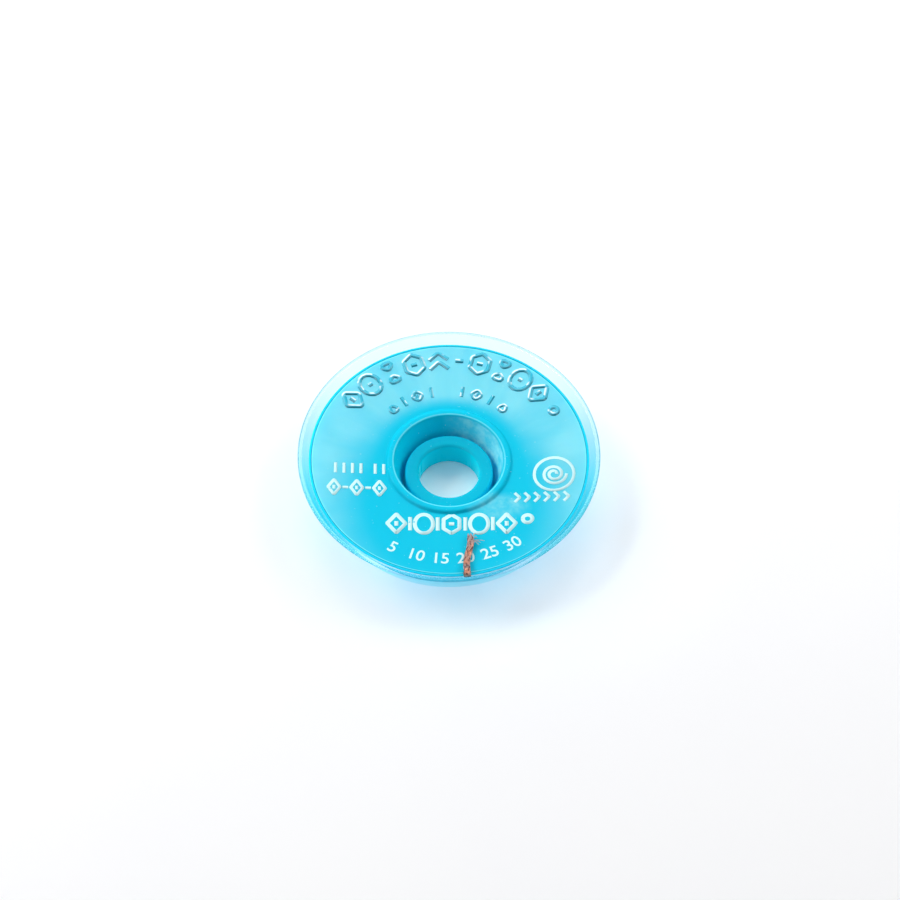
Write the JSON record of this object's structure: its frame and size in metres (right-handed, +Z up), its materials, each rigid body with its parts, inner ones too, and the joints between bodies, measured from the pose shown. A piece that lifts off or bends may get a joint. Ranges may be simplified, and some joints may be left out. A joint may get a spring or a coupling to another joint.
{
  "type": "desoldering braid",
  "caption": "Flat round bobbin of clear turquoise plastic, flared dish and snapped-in cover, holding a coil of copper desoldering braid whose end lies on the cover.",
  "frame": {"origin": "centre of the bobbin's flat underside, on its axis", "axes": "+Z up along the bobbin's axis, from the dish's floor to its rim; -Y towards the side where the braid's free end comes out"},
  "size_m": [0.048, 0.048, 0.009],
  "materials": {
    "clear_plastic": "clear moulded plastic with a pale turquoise tint, glossy",
    "turquoise_plastic": "see-through turquoise moulded plastic, glossy, with worn white print",
    "copper_braid": "bare fluxed copper wire, flat braided"
  },
  "bodies": {
    "root": {"back_shell": "clear_plastic", "cover_disc": "turquoise_plastic", "braid_coil": "copper_braid", "braid_tail": "copper_braid"}
  },
  "joints": []
}
